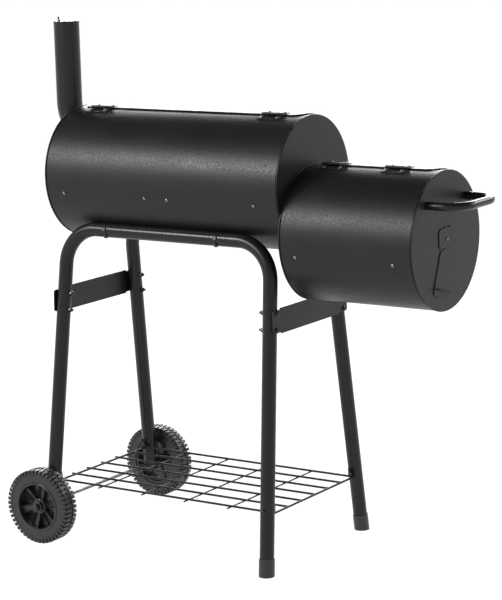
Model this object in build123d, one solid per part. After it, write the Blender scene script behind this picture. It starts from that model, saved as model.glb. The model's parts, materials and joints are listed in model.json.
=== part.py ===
from build123d import *
import math
import os

# Offset smoker: a cooking chamber and a lower firebox, both rolled steel drums closed with pressed end caps,
# on a bent-tube stand with two wheels, two feet and a wire shelf. All sizes in millimetres.
# +X runs towards the chimney end, -X towards the firebox end, -Y is the front where the lids open, +Z is up.
# The origin is on the ground, under the middle of the whole object.
# "along" is the distance from the chimney end of the cooking chamber towards the firebox.
# "around" is the angle about a drum's axis, from straight back (0), over the top (90), to straight front (180).

# ---- driving dimensions -------------------------------------------------------------------------------------
BARREL_AXIS_Z = 832.0        # height of the cooking chamber's axis above the ground
FIREBOX_DROP = 104.0         # the firebox axis lies this much lower
MAIN_LENGTH = 624.0          # cooking chamber over its end caps
FIREBOX_LENGTH = 324.0       # firebox over its end caps
CAP_R = 150.0                # rim of the end caps
SHELL_R = 148.5              # outside of the rolled shells
SHEET = 1.5                  # steel sheet thickness
CAP_RIM = 3.5                # width of the cap's visible rim
CAP_SEAM = 1.5               # groove left between the rim and the shell
CAP_FLANGE = 14.0            # how far the cap reaches into the shell
CAP_ROUND = 1.4              # rounding of the rim's edges
WHEEL_R = 86.0
WHEEL_ALONG = 14.0           # wheel axis, measured along the barrel
END_HANDLE_REACH = 81.0      # centreline of the end handle beyond the firebox
END_HANDLE_R = 9.0

FIREBOX_AXIS_Z = BARREL_AXIS_Z - FIREBOX_DROP
OVERALL_END = MAIN_LENGTH + FIREBOX_LENGTH
CHIMNEY_END_X = (OVERALL_END + END_HANDLE_REACH + END_HANDLE_R + WHEEL_ALONG - WHEEL_R) / 2
SHELL_IN_R = SHELL_R - SHEET

LID_SHEET = 1.2
LID_IN_R = SHELL_R + 1.5     # the lid floats a little over the shell
LID_R = LID_IN_R + LID_SHEET
LID_MARGIN = 16.0            # strip of shell left beside each end cap
LID_OVERLAP = 12.0           # how far the lid laps over the window's edge
LID_CORNER_R = 28.0
LID_BACK_GAP = 3.6           # from the hinge pins' axis to the lid's back edge
LID_FRONT_AROUND = 182.0
MAIN_HINGE_AROUND = 80.5
FIREBOX_HINGE_AROUND = 83.5

HINGE_LENGTH = 56.0
HINGE_PIN_R = 1.6
KNUCKLE_R = 2.9
KNUCKLE_MID = 26.0           # middle knuckle, on the lid leaf
KNUCKLE_GAP = 0.5            # round and beside the knuckles
HINGE_AXIS_R = LID_R + 2.0   # pin axis from the drum's axis
LEAF = 1.2
LEAF_GAP = 0.05              # left under a leaf
LEAF_SPAN = 9.5              # degrees of arc covered by a leaf
LEAF_SCREW_SPAN = 6.0
LEAF_SCREW_PITCH = 40.0
BODY_LEAF_SCREW = 8.0        # lengths of the hinge screws' shanks
LID_LEAF_SCREW = 3.4
MAIN_HINGES = (75.0, 540.0)
FIREBOX_HINGES = (MAIN_LENGTH + 66.0, MAIN_LENGTH + 218.0)

TUBE_R = 16.0                # stand tube
TUBE_BORE_R = 14.5
SPIGOT_R = 14.3              # necked end of the hoop, inside the leg
SPIGOT_BORE_R = 12.8
SPIGOT_LENGTH = 52.0
HOOP_DROP = 115.8            # hoop centreline under the barrel axis
HOOP_Y = 117.3
HOOP_BEND_R = 85.0
LEG_SPLAY = 0.1186           # sideways run of a leg per unit of drop
LEG_LEAN = 0.0317            # lengthwise run of a leg per unit of drop
HOOP_MID = 311.0             # middle of the stand, along
HOOP_HALF = 274.2            # half the distance between the leg lines at the hoop
JOINT_DROP = 293.0           # seam between hoop and legs under the barrel axis
WHEEL_LEG_DROP = 757.0       # lower end of the wheel legs under the barrel axis
FOOT_LEG_END = 4.0           # lower end of the foot legs above the ground

BOLT_R = 3.0
SCREW_R = 2.5
FIT = 0.06                   # running clearance of a screw or shaft in its hole
THREAD_FIT = 0.04            # clearance of a thread in its nut
SEAT_GAP = 0.1               # left under a screw's head, a nut or a leaf, so that no two faces coincide
TURN_GAP = 0.3               # left between curved faces that touch or turn
RAIL_AROUND = -13.0          # the rails sit a little under the drums' axes
MAIN_RAIL_SCREWS = ((50.5, 274.0), (334.0, 561.0))
FIREBOX_RAIL_SCREWS = ((MAIN_LENGTH + 39.5, MAIN_LENGTH + 277.0),)

AXLE_R = 4.0
AXLE_Z = WHEEL_R
WHEEL_MID_Y = 229.0
TYRE_WIDTH = 40.0
RIM_R = 57.0

SHELF_DROP = 699.0
SHELF_HALF_Y = 167.0
SHELF_WIRE_R = 2.5
SHELF_CROSS_R = 1.75

CHIMNEY_R = 29.5
CHIMNEY_ALONG = -37.0
CHIMNEY_TOP = 341.0          # above the barrel axis
CHIMNEY_BEND_TOP = 158.0
CHIMNEY_BEND_R = 90.0
CHIMNEY_WALL = 1.5

BASE = (Align.CENTER, Align.CENTER, Align.MIN)
TOP = (Align.CENTER, Align.CENTER, Align.MAX)
LAP = 0.5                    # depth by which joined solids run into each other
DRILL_START = 6.0            # a hole's tool starts this far above its surface


# ---- places and small makers --------------------------------------------------------------------------------
def at(along, y, z):
    """A point from its distance along the barrel, its side and its height."""
    return Vector(CHIMNEY_END_X - along, y, z)


def drum(start, end, radius, axis_z):
    """A solid cylinder lying along the barrel."""
    middle = at((start + end) / 2, 0, axis_z)
    return Pos(middle) * Rot(0, 90, 0) * Cylinder(radius, abs(end - start))


def sector(start, end, inner, outer, first, last, axis_z, y=0.0):
    """A curved plate: part of a ring, from angle first to angle last, extruded along the barrel."""
    section = Plane(origin=at(end, y, axis_z), x_dir=(0, 1, 0), z_dir=(1, 0, 0))
    low = CenterArc((0, 0), inner, first, last - first)
    high = CenterArc((0, 0), outer, first, last - first)
    outline = [low, high, Line(low @ 0, high @ 0), Line(low @ 1, high @ 1)]
    return extrude(section * make_face(outline), end - start)


def radial(along, around, radius, axis_z):
    """A plane on a drum's surface whose normal points straight out."""
    angle = math.radians(around)
    out = Vector(0, math.cos(angle), math.sin(angle))
    return Plane(origin=at(along, 0, axis_z) + out * radius, x_dir=(1, 0, 0), z_dir=out)


def screw(plane, length, radius=SCREW_R, head=4.3, head_height=2.4):
    """A pan-head screw: its head stands on the plane and its shank goes down through it."""
    cap = fillet(Cylinder(head, head_height, align=BASE).edges().group_by(Axis.Z)[-1], head_height * 0.7)
    shank = Cylinder(radius, length + LAP, align=TOP)
    return plane * (cap + Pos(0, 0, LAP) * shank)


def hole(plane, length, radius=SCREW_R + FIT):
    """The tool that drills a screw's hole, through from above the plane."""
    return plane * Pos(0, 0, DRILL_START) * Cylinder(radius, length + DRILL_START, align=TOP)


def nut(plane, radius=SCREW_R, across=8.0, height=3.5):
    """A hexagon nut standing on the plane."""
    body = extrude(RegularPolygon(across / 2, 6, major_radius=False), height)
    return plane * (body - Cylinder(radius + THREAD_FIT, 3 * height))


def rod(points, radius, bend=0.0):
    """A round rod or tube blank along a path, bent at its inner points."""
    path = FilletPolyline(*points, radius=bend) if bend else Polyline(*points)
    start = Plane(origin=path @ 0, z_dir=path % 0)
    return sweep(start * Circle(radius), path=path)


parts = {}


# ---- the two drums ------------------------------------------------------------------------------------------
def end_cap(face, inward, axis_z):
    """A pressed cap: a plate with a rounded rim, and a flange inside the shell. inward is +1 or -1 along."""
    def disc(depth, radius):
        near, far = sorted((face, face + inward * depth))
        return drum(near, far, radius, axis_z)

    flange_r = SHELL_IN_R - SEAT_GAP
    rim = fillet(disc(CAP_RIM, CAP_R).edges().filter_by(GeomType.CIRCLE), CAP_ROUND)
    hollow = drum(face + inward * SHEET, face + inward * 2 * CAP_FLANGE, flange_r - SHEET, axis_z)
    return rim + disc(CAP_FLANGE, flange_r) - hollow


def rounded_patch(start, end, first, last, corner_r, axis_z):
    """A thick curved block over part of a drum, with rounded corners: the tool that outlines a lid or a window."""
    block = sector(start, end, SHELL_IN_R - 5, LID_R + 5, first, last, axis_z)
    corners = block.edges().filter_by(GeomType.LINE).filter_by(lambda e: abs(e.tangent_at(0).X) < 0.5)
    return fillet(corners, corner_r)


def shell(start, end, axis_z, hinge_around):
    """A rolled shell with the window that its lid covers."""
    first, last = start + CAP_RIM + CAP_SEAM, end - CAP_RIM - CAP_SEAM
    tube = drum(first, last, SHELL_R, axis_z) - drum(first - 1, last + 1, SHELL_IN_R, axis_z)
    lap = math.degrees(LID_OVERLAP / SHELL_R)
    inset = LID_MARGIN + LID_OVERLAP
    window = rounded_patch(start + inset, end - inset, hinge_around + lap, LID_FRONT_AROUND - lap,
                           LID_CORNER_R - LID_OVERLAP, axis_z)
    return tube - window


def lid(start, end, axis_z, hinge_around):
    """A curved lid sheet with rounded corners; its back edge stops just in front of the hinge pins."""
    first, last = start + LID_MARGIN, end - LID_MARGIN
    back = hinge_around + math.degrees(LID_BACK_GAP / SHELL_R)
    ring = drum(first - 1, last + 1, LID_R, axis_z) - drum(first - 2, last + 2, LID_IN_R, axis_z)
    return ring & rounded_patch(first, last, back, LID_FRONT_AROUND, LID_CORNER_R, axis_z)


# ---- hinges -------------------------------------------------------------------------------------------------
def pin_point(along, around, axis_z):
    return radial(along, around, HINGE_AXIS_R, axis_z)


def pin_cylinder(along, length, radius, around, axis_z):
    """A cylinder on the hinge's pin axis, lying along the barrel."""
    plane = pin_point(along, around, axis_z)
    return Pos(plane.origin) * Rot(0, 90, 0) * Cylinder(radius, length)


def leaf(along, around, axis_z, side):
    """One hinge leaf. side is 'lid' for the leaf with the middle knuckle, 'body' for the one with the outer two."""
    half = HINGE_LENGTH / 2
    web_lap = math.degrees(LAP / HINGE_AXIS_R)
    clear = math.degrees((KNUCKLE_R + KNUCKLE_GAP) / HINGE_AXIS_R)
    outer_knuckle = (HINGE_LENGTH - KNUCKLE_MID) / 2
    if side == "lid":
        low = LID_R + LEAF_GAP
        plate = sector(along - half, along + half, low, low + LEAF, around + clear, around + LEAF_SPAN, axis_z)
        spans = [(along, KNUCKLE_MID - KNUCKLE_GAP)]
        web_from, web_to, web_top = around, around + clear + web_lap, low + LEAF
    else:
        low = SHELL_R + LEAF_GAP
        plate = sector(along - half, along + half, low, low + LEAF, around - LEAF_SPAN, around - clear, axis_z)
        offset = half - outer_knuckle / 2
        spans = [(along - offset, outer_knuckle), (along + offset, outer_knuckle)]
        web_from, web_to, web_top = around - clear - web_lap, around, low + 2 * LEAF
    made = plate
    for middle, length in spans:
        web = sector(middle - length / 2, middle + length / 2, low, web_top, web_from, web_to, axis_z)
        made = made + web + pin_cylinder(middle, length, KNUCKLE_R, around, axis_z)
    made = made - pin_cylinder(along, HINGE_LENGTH + 4, HINGE_PIN_R + FIT, around, axis_z)
    for plane in leaf_screw_planes(along, around, axis_z, side):
        made = made - hole(plane, 6)
    return made


def leaf_screw_planes(along, around, axis_z, side):
    """Where the screws' heads sit on a leaf."""
    turn, top = (LEAF_SCREW_SPAN, LID_R) if side == "lid" else (-LEAF_SCREW_SPAN, SHELL_R)
    places = (along - LEAF_SCREW_PITCH / 2, along + LEAF_SCREW_PITCH / 2)
    return [radial(place, around + turn, top + LEAF + SEAT_GAP, axis_z) for place in places]


def round_bar_handle(plane, half_width, reach, radius, bend):
    """A U-shaped round bar standing on a plane, its arms half_width either side along the plane's x."""
    path = [(-half_width, 0, SEAT_GAP), (-half_width, 0, reach),
            (half_width, 0, reach), (half_width, 0, SEAT_GAP)]
    return plane * rod(path, radius, bend)


# ---- cooking chamber and firebox ----------------------------------------------------------------------------
main_shell = shell(0, MAIN_LENGTH, BARREL_AXIS_Z, MAIN_HINGE_AROUND)
firebox_shell = shell(MAIN_LENGTH, OVERALL_END, FIREBOX_AXIS_Z, FIREBOX_HINGE_AROUND)
main_lid = lid(0, MAIN_LENGTH, BARREL_AXIS_Z, MAIN_HINGE_AROUND)
firebox_lid = lid(MAIN_LENGTH, OVERALL_END, FIREBOX_AXIS_Z, FIREBOX_HINGE_AROUND)
chimney_end_cap = end_cap(0, 1, BARREL_AXIS_Z)
main_inner_cap = end_cap(MAIN_LENGTH, -1, BARREL_AXIS_Z)
firebox_inner_cap = end_cap(MAIN_LENGTH, 1, FIREBOX_AXIS_Z)
firebox_outer_cap = end_cap(OVERALL_END, -1, FIREBOX_AXIS_Z)

body_leaves, lid_leaves, pins, body_leaf_screws, lid_screws = [], {}, [], [], {}
for name, hinge_places, around, axis_z in (
        ("main", MAIN_HINGES, MAIN_HINGE_AROUND, BARREL_AXIS_Z),
        ("firebox", FIREBOX_HINGES, FIREBOX_HINGE_AROUND, FIREBOX_AXIS_Z)):
    lid_leaves[name] = [leaf(place, around, axis_z, "lid") for place in hinge_places]
    lid_screws[name] = []
    for place in hinge_places:
        body_leaves.append(leaf(place, around, axis_z, "body"))
        pins.append(pin_cylinder(place, HINGE_LENGTH + 2, HINGE_PIN_R, around, axis_z))
        for plane in leaf_screw_planes(place, around, axis_z, "body"):
            body_leaf_screws.append(screw(plane, BODY_LEAF_SCREW))
            if name == "main":
                main_shell = main_shell - hole(plane, BODY_LEAF_SCREW)
            else:
                firebox_shell = firebox_shell - hole(plane, BODY_LEAF_SCREW)
        for plane in leaf_screw_planes(place, around, axis_z, "lid"):
            lid_screws[name].append(screw(plane, LID_LEAF_SCREW))
            if name == "main":
                main_lid = main_lid - hole(plane, LID_LEAF_SCREW)
            else:
                firebox_lid = firebox_lid - hole(plane, LID_LEAF_SCREW)

# Lid handles: round bars on the lids' lower front edges, screwed from inside.
LID_HANDLE_AROUND = 168.0
LID_HANDLE_R = 7.0
LID_HANDLE_REACH = 42.0
LID_HANDLE_BEND = 20.0
LID_HANDLE_SCREW = 12.0


def lid_handle(middle, half_width, axis_z):
    """The handle and the planes of its two screws, which point inwards."""
    seat = radial(middle, LID_HANDLE_AROUND, LID_R, axis_z)
    handle = round_bar_handle(seat, half_width, LID_HANDLE_REACH, LID_HANDLE_R, LID_HANDLE_BEND)
    inner = radial(middle, LID_HANDLE_AROUND, LID_IN_R - SEAT_GAP, axis_z)
    screw_planes = []
    for offset in (-half_width, half_width):
        under = inner * Plane(origin=(offset, 0, 0), z_dir=(0, 0, -1))
        screw_planes.append(under)
        handle = handle - hole(under, LID_HANDLE_SCREW + 2)
    return handle, screw_planes


MAIN_HANDLE_HALF = 100.0
FIREBOX_HANDLE_HALF = 55.0
main_lid_handle, main_handle_planes = lid_handle(MAIN_LENGTH / 2, MAIN_HANDLE_HALF, BARREL_AXIS_Z)
firebox_lid_handle, firebox_handle_planes = lid_handle(
    MAIN_LENGTH + FIREBOX_LENGTH / 2, FIREBOX_HANDLE_HALF, FIREBOX_AXIS_Z)
for plane in main_handle_planes:
    main_lid = main_lid - hole(plane, LID_HANDLE_SCREW)
    lid_screws["main"].append(screw(plane, LID_HANDLE_SCREW))
for plane in firebox_handle_planes:
    firebox_lid = firebox_lid - hole(plane, LID_HANDLE_SCREW)
    lid_screws["firebox"].append(screw(plane, LID_HANDLE_SCREW))

# Lid thermometer: a round case with a stem through the lid, held by a nut inside.
GAUGE_AROUND = 135.0
GAUGE_R = 27.0
GAUGE_DEPTH = 11.0
GAUGE_STEM_R = 4.0
GAUGE_STEM = 44.0
GAUGE_WALL = 2.0
GAUGE_FLOOR = 1.5
GAUGE_ROUND = 3.0
DIAL_SHEET = 0.8
GLASS_SHEET = 1.6
GLASS_SETBACK = 2.2          # underside of the glass below the case's rim
NEEDLE_HUB = (2.2, 1.2)      # radius and height
NEEDLE = (20.0, 1.4, 0.6)
NEEDLE_OFFSET = 7.0          # middle of the needle from its pivot
NEEDLE_TURN = 130.0
GAUGE_NUT = (16.0, 4.0)      # across the flats, and height
inside_r = GAUGE_R - GAUGE_WALL - SEAT_GAP
dial_low = GAUGE_FLOOR + SEAT_GAP
needle_low = dial_low + DIAL_SHEET + SEAT_GAP
gauge_seat = radial(MAIN_LENGTH / 2, GAUGE_AROUND, LID_R + TURN_GAP, BARREL_AXIS_Z)
gauge_case = fillet(Cylinder(GAUGE_R, GAUGE_DEPTH, align=BASE).edges().group_by(Axis.Z)[0], GAUGE_ROUND)
gauge_case = gauge_case - Pos(0, 0, GAUGE_FLOOR) * Cylinder(GAUGE_R - GAUGE_WALL, GAUGE_DEPTH, align=BASE)
gauge_case = gauge_case + Pos(0, 0, LAP) * Cylinder(GAUGE_STEM_R, GAUGE_STEM, align=TOP)
gauge_dial = Pos(0, 0, dial_low) * Cylinder(inside_r, DIAL_SHEET, align=BASE)
pointer = Rot(0, 0, NEEDLE_TURN) * Pos(NEEDLE_OFFSET, 0, 0) * Box(*NEEDLE, align=BASE)
gauge_needle = Pos(0, 0, needle_low) * (Cylinder(*NEEDLE_HUB, align=BASE) + pointer)
gauge_glass = Pos(0, 0, GAUGE_DEPTH - GLASS_SETBACK) * Cylinder(inside_r, GLASS_SHEET, align=BASE)
main_lid = main_lid - hole(gauge_seat, 2 * DRILL_START, GAUGE_STEM_R + TURN_GAP)
gauge_nut_seat = radial(MAIN_LENGTH / 2, GAUGE_AROUND, LID_IN_R - 2 * TURN_GAP, BARREL_AXIS_Z)
gauge_nut_plane = gauge_nut_seat * Plane(origin=(0, 0, 0), z_dir=(0, 0, -1))

# Grate rails: angle strips along both sides of each drum, with screws from outside and nuts inside.
RAIL_LEAF = 22.0
RAIL_LEDGE = 16.0
RAIL_SHEET = 1.5
RAIL_END = 10.0
RAIL_SCREW = 10.0
RAIL_SCREW_HEAD = (4.0, 2.6)
RAIL_GAP = 0.9               # from the shell's inner face to the flat leaf's middle
RAIL_NUT_GAP = 1.4           # the flat leaf stands off the curved shell by this much at most


def rail(first, last, axis_z, side):
    """An angle strip: a leaf against the shell and a level ledge for the grate. side is 1 back, -1 front."""
    around = RAIL_AROUND if side > 0 else 180 - RAIL_AROUND
    seat = radial((first + last) / 2, around, SHELL_IN_R - RAIL_GAP, axis_z)
    strip = seat * Pos(0, 0, -RAIL_SHEET / 2) * Box(last - first + 2 * RAIL_END, RAIL_LEAF, RAIL_SHEET)
    top = strip.bounding_box().max.Z
    edge = max(abs(strip.bounding_box().max.Y), abs(strip.bounding_box().min.Y))
    middle = at((first + last) / 2, side * (edge - RAIL_LEDGE / 2), top - RAIL_SHEET / 2)
    ledge = Pos(middle) * Box(last - first + 2 * RAIL_END, RAIL_LEDGE, RAIL_SHEET)
    return strip + ledge


def rail_screw_planes(first, last, axis_z, side):
    around = RAIL_AROUND if side > 0 else 180 - RAIL_AROUND
    return [radial(place, around, SHELL_R + SEAT_GAP, axis_z) for place in (first, last)]


rails = {"main": [], "firebox": []}
rail_screws, rail_nuts = [], []
for name, runs, axis_z in (("main", MAIN_RAIL_SCREWS, BARREL_AXIS_Z),
                           ("firebox", FIREBOX_RAIL_SCREWS, FIREBOX_AXIS_Z)):
    for first, last in runs:
        for side in (1, -1):
            made = rail(first, last, axis_z, side)
            for plane in rail_screw_planes(first, last, axis_z, side):
                made = made - hole(plane, RAIL_SCREW)
                rail_screws.append(screw(plane, RAIL_SCREW, SCREW_R, *RAIL_SCREW_HEAD))
                behind = plane * Plane(origin=(0, 0, -SHEET - RAIL_SHEET - RAIL_NUT_GAP), z_dir=(0, 0, -1))
                rail_nuts.append(nut(behind))
                if name == "main":
                    main_shell = main_shell - hole(plane, RAIL_SCREW / 2)
                else:
                    firebox_shell = firebox_shell - hole(plane, RAIL_SCREW / 2)
            rails[name].append(made)


# Grates: a round-wire frame with cross wires, resting loose.
COOKING_HALF_Y = 139.0
MAIN_COAL_HALF_Y = 82.0
FIREBOX_COAL_HALF_Y = 100.0
GRATE_FRAME_R = 3.0
GRATE_CORNER_R = 12.0
GRATE_WIRE_RISE = 0.6        # the cross wires' axes above the frame's
COOKING_WIRE = (2.0, 17.0)   # radius and pitch of the cross wires
COAL_WIRE = (2.5, 22.0)
GRATE_LIFT = 0.2             # left under a grate's frame
WALL_ROOM = 18.0             # from a drum's end to a grate
FLANGE_ROOM = 12.0           # and from there past the cap's flange
GRATE_SPLIT = 6.0            # from the chamber's middle to each half grate


def grate(first, last, half_y, z_low, wire_r, pitch):
    """A wire grate between two places along the barrel; z_low is the underside of its frame."""
    z = z_low + GRATE_FRAME_R
    side = half_y - GRATE_FRAME_R
    loop = [at(first, -side, z), at(last, -side, z), at(last, side, z), at(first, side, z)]
    ring = FilletPolyline(*loop, radius=GRATE_CORNER_R, close=True)
    start = Plane(origin=ring @ 0, z_dir=ring % 0)
    made = sweep(start * Circle(GRATE_FRAME_R), path=ring)
    count = int((last - first) / pitch)
    step = (last - first) / count
    for number in range(1, count):
        middle = at(first + number * step, 0, z + GRATE_WIRE_RISE)
        made = made + Pos(middle) * Rot(90, 0, 0) * Cylinder(wire_r, 2 * side)
    return made


def coal_seat(half_y, axis_z):
    """How low a charcoal grate's frame lies when its long sides rest on the shell's curve."""
    reach = SHELL_IN_R - GRATE_FRAME_R - TURN_GAP
    return axis_z - math.sqrt(reach ** 2 - (half_y - GRATE_FRAME_R) ** 2) - GRATE_FRAME_R


def ledge_top(name):
    """Where a cooking grate's frame rests on a drum's rails."""
    return max(made.bounding_box().max.Z for made in rails[name]) + GRATE_LIFT


main_middle = MAIN_LENGTH / 2
main_start, main_end = WALL_ROOM + FLANGE_ROOM, MAIN_LENGTH - WALL_ROOM - FLANGE_ROOM
fire_start, fire_end = MAIN_LENGTH + WALL_ROOM, OVERALL_END - WALL_ROOM
main_coals = coal_seat(MAIN_COAL_HALF_Y, BARREL_AXIS_Z)
fire_coals = coal_seat(FIREBOX_COAL_HALF_Y, FIREBOX_AXIS_Z)
main_ledge = ledge_top("main")
cooking_grate_chimney = grate(main_start, main_middle - GRATE_SPLIT, COOKING_HALF_Y, main_ledge, *COOKING_WIRE)
cooking_grate_firebox = grate(main_middle + GRATE_SPLIT, main_end, COOKING_HALF_Y, main_ledge, *COOKING_WIRE)
firebox_grate = grate(fire_start, fire_end, COOKING_HALF_Y, ledge_top("firebox"), *COOKING_WIRE)
main_coal_grate = grate(main_start, main_end, MAIN_COAL_HALF_Y, main_coals, *COAL_WIRE)
firebox_coal_grate = grate(fire_start, fire_end, FIREBOX_COAL_HALF_Y, fire_coals, *COAL_WIRE)

# Smoke passage through the two touching caps, and the bolts round it.
PASSAGE_R = 60.0
PASSAGE_BOLT_CIRCLE = 80.0
PASSAGE_SCREWS = 6
CAP_SCREW = 12.0             # shank of the screws through the caps
passage_z = (BARREL_AXIS_Z + FIREBOX_AXIS_Z) / 2
passage = drum(MAIN_LENGTH - CAP_FLANGE, MAIN_LENGTH + CAP_FLANGE, PASSAGE_R, passage_z)
main_inner_cap = main_inner_cap - passage
firebox_inner_cap = firebox_inner_cap - passage
joining_screws, joining_nuts = [], []
for number in range(PASSAGE_SCREWS):
    angle = math.tau * number / PASSAGE_SCREWS
    y = PASSAGE_BOLT_CIRCLE * math.cos(angle)
    z = passage_z + PASSAGE_BOLT_CIRCLE * math.sin(angle)
    head = Plane(origin=at(MAIN_LENGTH + SHEET + SEAT_GAP, y, z), z_dir=(-1, 0, 0))
    main_inner_cap = main_inner_cap - hole(head, CAP_SCREW)
    firebox_inner_cap = firebox_inner_cap - hole(head, CAP_SCREW)
    joining_screws.append(screw(head, CAP_SCREW))
    joining_nuts.append(nut(Plane(origin=at(MAIN_LENGTH - SHEET - SEAT_GAP, y, z), z_dir=(1, 0, 0))))

# End handle: a level U-shaped bar on the firebox's outer cap, screwed from inside the cap.
END_HANDLE_HALF = 82.0
END_HANDLE_RISE = 85.0       # above the firebox axis
END_HANDLE_BEND = 48.0
END_HANDLE_SCREW = 18.0
handle_z = FIREBOX_AXIS_Z + END_HANDLE_RISE
handle_seat = Plane(origin=at(OVERALL_END, 0, handle_z), x_dir=(0, 1, 0), z_dir=(-1, 0, 0))
end_handle = round_bar_handle(handle_seat, END_HANDLE_HALF, END_HANDLE_REACH, END_HANDLE_R, END_HANDLE_BEND)
handle_screws = []
for side in (-1, 1):
    inside = Plane(origin=at(OVERALL_END - SHEET - SEAT_GAP, side * END_HANDLE_HALF, handle_z), z_dir=(1, 0, 0))
    end_handle = end_handle - hole(inside, END_HANDLE_SCREW + 2)
    firebox_outer_cap = firebox_outer_cap - hole(inside, END_HANDLE_SCREW)
    handle_screws.append(screw(inside, END_HANDLE_SCREW))

# Air damper: a fan-shaped flap that hangs over the air inlet from one screw, with a folded-out tab.
DAMPER_RISE = 4.0            # pivot above the firebox axis
DAMPER_R = 125.0
DAMPER_HUB = 34.0
DAMPER_HUB_TOP = 24.0
DAMPER_HUB_R = 11.0          # its corners
DAMPER_WAIST = -18.0         # where the fan starts, under the pivot
DAMPER_EAR_R = 5.0
DAMPER_EARS = (-6.0, 15.0)
DAMPER_CORNER_R = 9.0
DAMPER_HALF_ANGLE = 38.5
DAMPER_LEAN = 9.2            # the flap hangs turned this much towards the front
INLET_R = (46.0, 112.0)
INLET_HALF_ANGLE = 24.0
INLET_CUT = 15.0             # depth of the tool that cuts the inlet, each way
TAB_SIZE = (70.0, SHEET, 12.0)
TAB_PLACE = (-37.2, -101.6, SHEET)
TAB_TURN = -23.6
PIVOT_SCREW = 13.0
PIVOT_HEAD = 3.8
pivot_z = FIREBOX_AXIS_Z + DAMPER_RISE
flap_face = Plane(origin=at(OVERALL_END + TURN_GAP, 0, pivot_z), x_dir=(0, -1, 0), z_dir=(-1, 0, 0))


def fan_point(radius, degrees_from_down):
    angle = math.radians(degrees_from_down - 90)
    return (radius * math.cos(angle), radius * math.sin(angle))


def damper_outline():
    """A level hub block with two small ears on top, over a fan that leans to one side."""
    hub_half = DAMPER_HUB - DAMPER_HUB_R / 3
    left, right = fan_point(DAMPER_R, -DAMPER_HALF_ANGLE), fan_point(DAMPER_R, DAMPER_HALF_ANGLE)
    arc = CenterArc((0, 0), DAMPER_R, -90 - DAMPER_HALF_ANGLE, 2 * DAMPER_HALF_ANGLE)
    fan = make_face([Line((hub_half, DAMPER_WAIST), right), arc, Line(left, (-hub_half, DAMPER_WAIST)),
                     Line((-hub_half, DAMPER_WAIST), (hub_half, DAMPER_WAIST))])
    hub_height = DAMPER_HUB_TOP - DAMPER_WAIST
    hub_middle = (DAMPER_HUB_TOP + DAMPER_WAIST) / 2
    hub = Pos(0, hub_middle) * RectangleRounded(2 * DAMPER_HUB, hub_height, DAMPER_HUB_R)
    ears = [Pos(x, DAMPER_HUB_TOP - DAMPER_EAR_R / 2) * Circle(DAMPER_EAR_R) for x in DAMPER_EARS]
    return Rot(0, 0, DAMPER_LEAN) * fan + hub + ears


flap = extrude(damper_outline(), SHEET)
lower_corners = flap.edges().filter_by(Axis.Z).filter_by(lambda e: e.center().Y < -DAMPER_R / 2)
flap = fillet(lower_corners, DAMPER_CORNER_R)
flap = flap - Cylinder(SCREW_R + FIT, 4 * SHEET)
tab = Rot(0, 0, DAMPER_LEAN) * Pos(*TAB_PLACE) * Rot(0, 0, TAB_TURN) * Box(*TAB_SIZE, align=BASE)
air_damper = flap_face * (flap + tab)
inlet_low = CenterArc((0, 0), INLET_R[0], -90 - INLET_HALF_ANGLE, 2 * INLET_HALF_ANGLE)
inlet_high = CenterArc((0, 0), INLET_R[1], -90 - INLET_HALF_ANGLE, 2 * INLET_HALF_ANGLE)
inlet_sides = [Line(inlet_low @ 0, inlet_high @ 0), Line(inlet_low @ 1, inlet_high @ 1)]
inlet = make_face([inlet_low, inlet_high] + inlet_sides)
inlet_tool = flap_face * Pos(0, 0, -INLET_CUT) * extrude(inlet, 2 * INLET_CUT)
firebox_outer_cap = firebox_outer_cap - inlet_tool
damper_head = Plane(origin=at(OVERALL_END + SHEET + 2 * TURN_GAP, 0, pivot_z), z_dir=(-1, 0, 0))
firebox_outer_cap = firebox_outer_cap - hole(damper_head, PIVOT_SCREW)
pivot_screws = [screw(damper_head, PIVOT_SCREW, head=PIVOT_HEAD)]
pivot_nuts = [nut(Plane(origin=at(OVERALL_END - SHEET - 2 * SEAT_GAP, 0, pivot_z), z_dir=(1, 0, 0)))]


# ---- chimney ------------------------------------------------------------------------------------------------
bend_z = BARREL_AXIS_Z + CHIMNEY_BEND_TOP
entry_angle = math.acos(1 + CHIMNEY_ALONG / CHIMNEY_BEND_R)
INSIDE_RUN = 40.0            # spare length that the cut inside the cap removes
INSIDE_STUB = 9.0


def bend_point(angle):
    """A point on the bend's centreline, after turning through an angle from straight down."""
    return at(CHIMNEY_ALONG + CHIMNEY_BEND_R * (1 - math.cos(angle)), 0, bend_z - CHIMNEY_BEND_R * math.sin(angle))


def chimney_solid(radius):
    """The pipe's outside or inside: straight down, then a bend that runs in through the end cap."""
    top = at(CHIMNEY_ALONG, 0, BARREL_AXIS_Z + CHIMNEY_TOP)
    entry = bend_point(entry_angle)
    straight = Line(top, bend_point(0))
    bend = ThreePointArc(bend_point(0), bend_point(entry_angle / 2), entry)
    tail = Line(entry, entry + Vector(-math.sin(entry_angle), 0, -math.cos(entry_angle)) * INSIDE_RUN)
    return sweep(Plane(origin=top, z_dir=(0, 0, -1)) * Circle(radius), path=Wire([straight, bend, tail]))


past_cap = Pos(at(INSIDE_STUB + CAP_R, 0, BARREL_AXIS_Z)) * Box(2 * CAP_R, 2 * CAP_R, 3 * CAP_R)
chimney_outside = chimney_solid(CHIMNEY_R)
chimney_pipe = chimney_outside - chimney_solid(CHIMNEY_R - CHIMNEY_WALL) - past_cap
mouth_cut = Cylinder(CHIMNEY_R - CHIMNEY_WALL, INSIDE_RUN)
mouth_cut = Pos(at(CHIMNEY_ALONG, 0, BARREL_AXIS_Z + CHIMNEY_TOP)) * mouth_cut
chimney_pipe = chimney_pipe - mouth_cut
entry_tool = chimney_solid(CHIMNEY_R + 2 * SEAT_GAP)
chimney_end_cap = chimney_end_cap - entry_tool

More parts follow.
